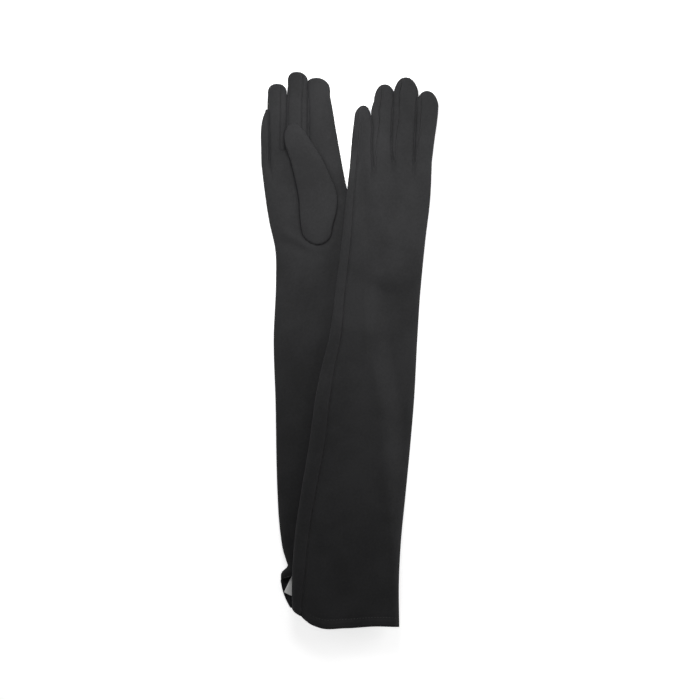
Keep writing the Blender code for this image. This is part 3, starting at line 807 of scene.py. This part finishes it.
def hem_stitches(shape):
    """Short stitches round the sleeve at the hem's inner edge and along its rim, as one mesh. Their grey
    thread is real along the rim; on the inner edge it also stands in for the hem fold's highlight, a
    painted highlight.
    """
    bm = bmesh.new()
    spacing, length, radius = STITCH
    for depth in HEM_LINES:
        for below in (False, True):
            section = shape.body_section(shape.mouth_y(below, 0.5))
            width = section.right - section.left
            count = int(width / spacing)
            for s in range(1, count):
                fraction = s / count
                mouth = shape.mouth_y(below, fraction)
                y = mouth + depth
                x, z = shape.body_section(y).face(below, fraction)
                z = shape.softened(x, y, z, depth)
                step = 0.01
                slope = (shape.mouth_y(below, fraction + step) - mouth) / (step * width)
                turn = Matrix.Rotation(math.atan(slope), 4, "Z") @ Matrix.Rotation(0.5 * math.pi, 4, "Y")
                place = shape.lift(x, y, z, BODY_HALF) * MM
                bmesh.ops.create_cone(
                    bm, cap_ends=True, segments=8, radius1=radius * MM, radius2=radius * MM,
                    depth=length * MM, matrix=Matrix.Translation(place) @ turn,
                )
    mesh = bpy.data.meshes.new("hem_stitches")
    bm.to_mesh(mesh)
    bm.free()
    return mesh


def thumb_seam_path(glove):
    """Round the lower end of the thumb, where it meets the palm."""
    places = []
    rest = 2 * BODY_HALF + 0.3 if glove.palm_up else 2 * THUMB_HALF + LAYER_GAP
    steps = 24
    for s in range(2 * steps + 1):
        t = abs(steps - s) / steps * 0.22 + 0.002
        left, right, y, _ = thumb_section(glove, t)
        places.append(Vector((left if s < steps else right, y, rest)))
    return places


def make_material(name):
    material = bpy.data.materials.new(name)
    material.use_nodes = True
    return material, material.node_tree.nodes, material.node_tree.links


def add_texture(nodes, kind, **values):
    """A texture node with its inputs set by name."""
    texture = nodes.new(kind)
    for name, value in values.items():
        texture.inputs[name].default_value = value
    return texture


def set_ramp(nodes, *stops):
    """A colour ramp between two (position, colour) stops."""
    ramp = nodes.new("ShaderNodeValToRGB")
    for element, (position, colour) in zip(ramp.color_ramp.elements, stops, strict=True):
        element.position = position
        element.color = (*colour, 1.0)
    return ramp


def add_bump(nodes, links, height, strength, distance):
    bump = nodes.new("ShaderNodeBump")
    bump.inputs["Strength"].default_value = strength
    bump.inputs["Distance"].default_value = distance
    links.new(height, bump.inputs["Height"])
    return bump


def cloth_material():
    """Matte black stretch cloth: a very short brushed nap over a fine knit, a little uneven in tone."""
    material, nodes, links = make_material("black_stretch_cloth")
    shader = nodes["Principled BSDF"]
    shader.inputs["Roughness"].default_value = 0.92
    shader.inputs["Specular IOR Level"].default_value = 0.1
    shader.inputs["Sheen Weight"].default_value = 0.05
    shader.inputs["Sheen Roughness"].default_value = 0.45
    shader.inputs["Sheen Tint"].default_value = (0.85, 0.87, 0.95, 1.0)
    place = nodes.new("ShaderNodeTexCoord")
    tone = add_texture(nodes, "ShaderNodeTexNoise", Scale=26.0, Detail=3.0)
    nap = add_texture(nodes, "ShaderNodeTexNoise", Scale=900.0, Detail=4.0, Roughness=0.7)
    speck = add_texture(nodes, "ShaderNodeTexNoise", Scale=420.0, Detail=2.0)
    ribs = add_texture(nodes, "ShaderNodeTexWave", Scale=420.0, Distortion=1.5)
    ribs.bands_direction = "X"
    for texture in (tone, nap, speck, ribs):
        links.new(place.outputs["Object"], texture.inputs["Vector"])
    total = nodes.new("ShaderNodeMath")
    total.operation = "MULTIPLY_ADD"
    total.inputs[1].default_value = 0.45
    links.new(speck.outputs["Fac"], total.inputs[0])
    links.new(tone.outputs["Fac"], total.inputs[2])
    ramp = set_ramp(nodes, (0.55, (0.0195, 0.0195, 0.0202)), (0.92, (0.0262, 0.0262, 0.0272)))
    links.new(total.outputs["Value"], ramp.inputs["Fac"])
    links.new(ramp.outputs["Color"], shader.inputs["Base Color"])
    knit = add_bump(nodes, links, ribs.outputs["Fac"], 0.12, 0.00012)
    brushed = add_bump(nodes, links, nap.outputs["Fac"], 0.35, 0.0003)
    links.new(knit.outputs["Normal"], brushed.inputs["Normal"])
    links.new(brushed.outputs["Normal"], shader.inputs["Normal"])
    return material


def thread_material(name, dark, light):
    """Twisted sewing thread."""
    material, nodes, links = make_material(name)
    shader = nodes["Principled BSDF"]
    shader.inputs["Roughness"].default_value = 0.7
    place = nodes.new("ShaderNodeTexCoord")
    twist = add_texture(nodes, "ShaderNodeTexWave", Scale=900.0)
    twist.bands_direction = "DIAGONAL"
    links.new(place.outputs["Object"], twist.inputs["Vector"])
    ramp = set_ramp(nodes, (0.0, (dark,) * 3), (1.0, (light,) * 3))
    links.new(twist.outputs["Fac"], ramp.inputs["Fac"])
    links.new(ramp.outputs["Color"], shader.inputs["Base Color"])
    return material


def satin_material():
    """White woven satin with fine crosswise floats."""
    material, nodes, links = make_material("white_label_satin")
    shader = nodes["Principled BSDF"]
    shader.inputs["Roughness"].default_value = 0.5
    place = nodes.new("ShaderNodeTexCoord")
    weave = add_texture(nodes, "ShaderNodeTexWave", Scale=700.0, Distortion=0.8)
    weave.bands_direction = "Y"
    links.new(place.outputs["Object"], weave.inputs["Vector"])
    ramp = set_ramp(nodes, (0.0, (0.7, 0.7, 0.69)), (1.0, (0.86, 0.86, 0.85)))
    links.new(weave.outputs["Fac"], ramp.inputs["Fac"])
    links.new(ramp.outputs["Color"], shader.inputs["Base Color"])
    bump = add_bump(nodes, links, weave.outputs["Fac"], 0.3, 0.0001)
    links.new(bump.outputs["Normal"], shader.inputs["Normal"])
    return material


def floor_material():
    material, nodes, _ = make_material("pale_floor")
    shader = nodes["Principled BSDF"]
    shader.inputs["Base Color"].default_value = (0.92, 0.92, 0.92, 1.0)
    shader.inputs["Roughness"].default_value = 0.9
    shader.inputs["Emission Color"].default_value = (1.0, 1.0, 1.0, 1.0)
    shader.inputs["Emission Strength"].default_value = 0.66
    return material


def add_glove(glove, cloth, thread, hem_thread):
    """One glove's panels, threads and stitches, each in place of its CAD node, all but the thumb on the
    glove's body.
    """
    shape = Shape(glove)
    body = glove.name + "_glove"
    name = glove.name + "_"
    trank = apply_cloth(trank_panel(shape).mesh("trank"), FABRIC)
    add_piece(name + "trank_cloth", trank, body, name + "trank", cloth)
    strip_name = name + "fourchette_"
    for i in range(3):
        between = FINGER_NAMES[i] + "_" + FINGER_NAMES[i + 1]
        strip = apply_cloth(fourchette_panel(shape, i).mesh("fourchette"), FABRIC)
        add_piece(
            strip_name + "cloth_" + between, strip, body, strip_name + between, cloth
        )
        add_thread(
            strip_name + "seam_" + between, fourchette_path(shape, i), True, body,
            strip_name + "thread_" + between, thread,
        )
    add_thread(
        name + "side_seam", side_seam_path(shape), False, body, name + "side_seam_thread", thread
    )
    stitches = hem_stitches(shape)
    # The hem's stitches take the grey thread, which on the inner row is a painted highlight of the hem's
    # fold.
    add_piece(name + "hem_stitches", stitches, body, name + "hem_thread", hem_thread)
    add_thread(
        name + "thumb_seam", thumb_seam_path(glove), False, body, name + "thumb_seam_thread", thread
    )
    tube = thumb_panel(glove).mesh("thumb")
    thumb = add_piece(name + "thumb_cloth", tube, None, name + "thumb", cloth)
    _, _, end_y, _ = thumb_section(glove, 0.0)
    x, z = 0.5 * sum(thumb_section(glove, 0.2)[:2]) * MM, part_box(name + "thumb")[0][2]
    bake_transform(thumb)


def add_label(satin):
    """The blank care label, a little curled, on the right glove's lower layer at the mouth."""
    width, length = LABEL_SIZE
    across, up = 22, 34
    bm = bmesh.new()
    bmesh.ops.create_grid(bm, x_segments=across, y_segments=up, size=0.5)
    turn = Matrix.Rotation(LABEL_LEAN, 3, "Z")
    for v in bm.verts:
        u, w = v.co.x + 0.5, v.co.y + 0.5
        place = turn @ Vector((u * width, w * length, 0.0))
        curl = 0.5 * math.sin(2.4 * u + 1.0) * (1 - w)
        v.co = Vector((LABEL_CORNER[0] + place.x, LABEL_CORNER[1] + place.y, LABEL_HEIGHT + curl)) * MM
    for face in bm.faces:
        face.smooth = True
    mesh = bpy.data.meshes.new("label")
    bm.to_mesh(mesh)
    bm.free()
    satin_sheet = apply_cloth(mesh, LABEL_THICKNESS)
    label = add_piece(
        "right_label", satin_sheet, "right_glove", "right_care_label", satin
    )


def add_floor():
    bm = bmesh.new()
    bmesh.ops.create_grid(bm, x_segments=1, y_segments=1, size=3.0)
    mesh = bpy.data.meshes.new("floor")
    bm.to_mesh(mesh)
    bm.free()
    floor = bpy.data.objects.new("floor", mesh)
    floor.location.z = -0.0002
    mesh.materials.append(floor_material())
    bpy.context.scene.collection.objects.link(floor)


def add_light(name, place, target, size, power):
    data = bpy.data.lights.new(name, "AREA")
    data.size = size
    data.energy = power
    lamp = bpy.data.objects.new(name, data)
    lamp.location = place
    lamp.rotation_euler = (Vector(target) - Vector(place)).to_track_quat("-Z", "Y").to_euler()
    lamp.visible_camera = False
    bpy.context.scene.collection.objects.link(lamp)


def add_studio():
    """A soft light over the hands, weaker ones from both sides and a surround brightest low down."""
    world = bpy.data.worlds.new("studio")
    world.use_nodes = True
    background = world.node_tree.nodes["Background"]
    background.inputs["Strength"].default_value = 1.0
    nodes, links = world.node_tree.nodes, world.node_tree.links
    way = nodes.new("ShaderNodeTexCoord")
    parts = nodes.new("ShaderNodeSeparateXYZ")
    links.new(way.outputs["Generated"], parts.inputs["Vector"])
    ramp = set_ramp(nodes, (0.0, (HORIZON,) * 3), (0.6, (ZENITH,) * 3))
    links.new(parts.outputs["Z"], ramp.inputs["Fac"])
    links.new(ramp.outputs["Color"], background.inputs["Color"])
    bpy.context.scene.world = world
    for light in LIGHTS:
        add_light(*light)


def add_camera():
    """Straight down from far above, with 700 mm of table across the picture."""
    data = bpy.data.cameras.new("camera")
    data.sensor_width = 36.0
    data.lens = data.sensor_width * (CAMERA_HEIGHT - CAMERA_LEVEL) / VIEW_WIDTH
    camera = bpy.data.objects.new("camera", data)
    camera.location = (0.0, 0.0, CAMERA_HEIGHT)
    bpy.context.scene.collection.objects.link(camera)
    bpy.context.scene.camera = camera


def main():
    cloth = cloth_material()
    thread = thread_material("black_sewing_thread", 0.006, 0.02)
    # Grey thread for the hem's two stitch rows. The light stitches along the rim are real. On the inner
    # row the grey is a painted highlight standing in for the light line along the hem's fold.
    hem_thread = thread_material("grey_hem_thread", 0.045, 0.11)
    for glove in (RIGHT, LEFT):
        add_glove(glove, cloth, thread, hem_thread)
    add_label(satin_material())
    add_floor()
    add_studio()
    add_camera()
    bpy.context.scene.view_settings.view_transform = "Standard"


main()
bpy.context.view_layer.update()
